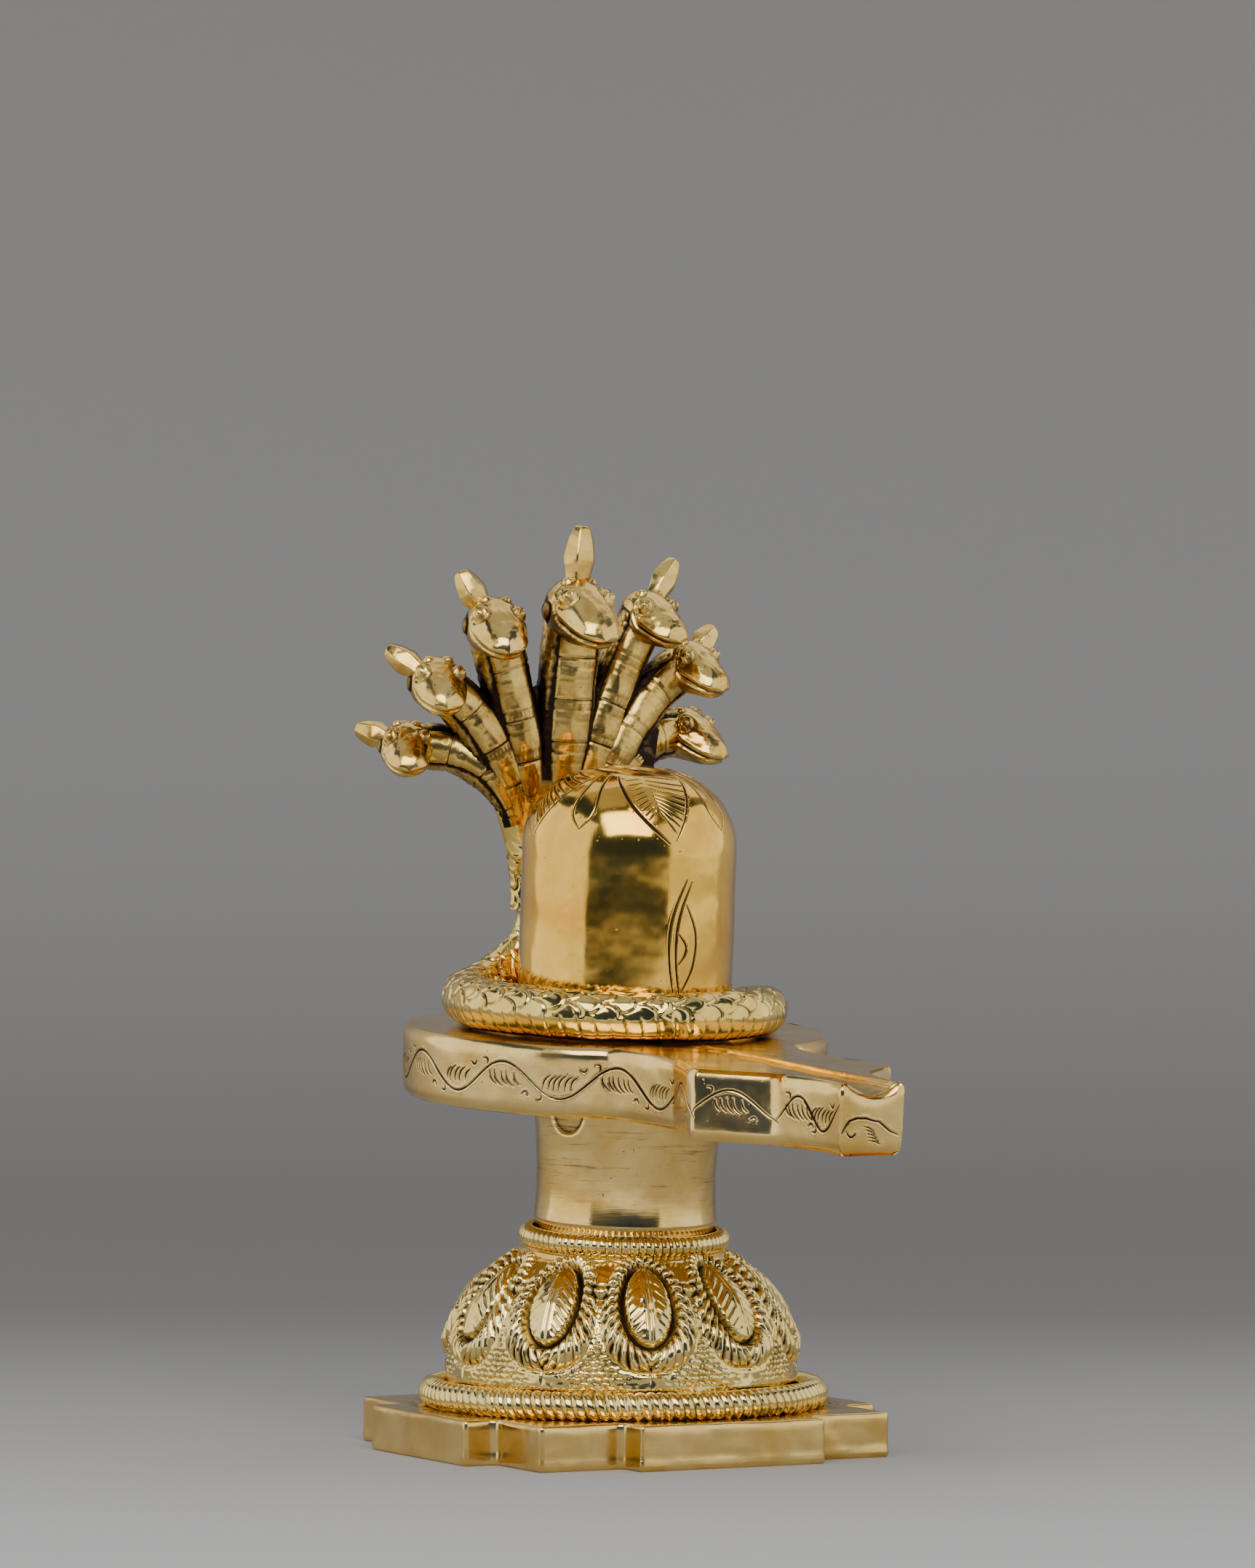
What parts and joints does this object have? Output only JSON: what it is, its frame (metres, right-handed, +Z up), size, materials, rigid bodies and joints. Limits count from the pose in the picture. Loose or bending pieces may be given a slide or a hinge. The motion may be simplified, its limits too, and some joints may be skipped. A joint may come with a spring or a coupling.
{
  "type": "shiva lingam",
  "caption": "Cast brass shiva lingam on a yoni plate with a long spout, ringed by a many-headed serpent, on a lotus pedestal with a stepped foot.",
  "frame": {"origin": "centre of the foot plate's underside", "axes": "+Z up, the spout points to -Y, +X is the right side seen from the spout"},
  "size_m": [0.0806, 0.1289, 0.1613],
  "materials": {
    "pedestal_brass": "polished casting with dark recesses",
    "yoni_plate_brass": "polished casting with engraved vine",
    "lingam_brass": "polished casting",
    "naga_brass": "polished casting with chased scales"
  },
  "bodies": {
    "root": {"pedestal": "pedestal_brass", "yoni_plate": "yoni_plate_brass", "lingam": "lingam_brass", "naga": "naga_brass"}
  },
  "joints": []
}
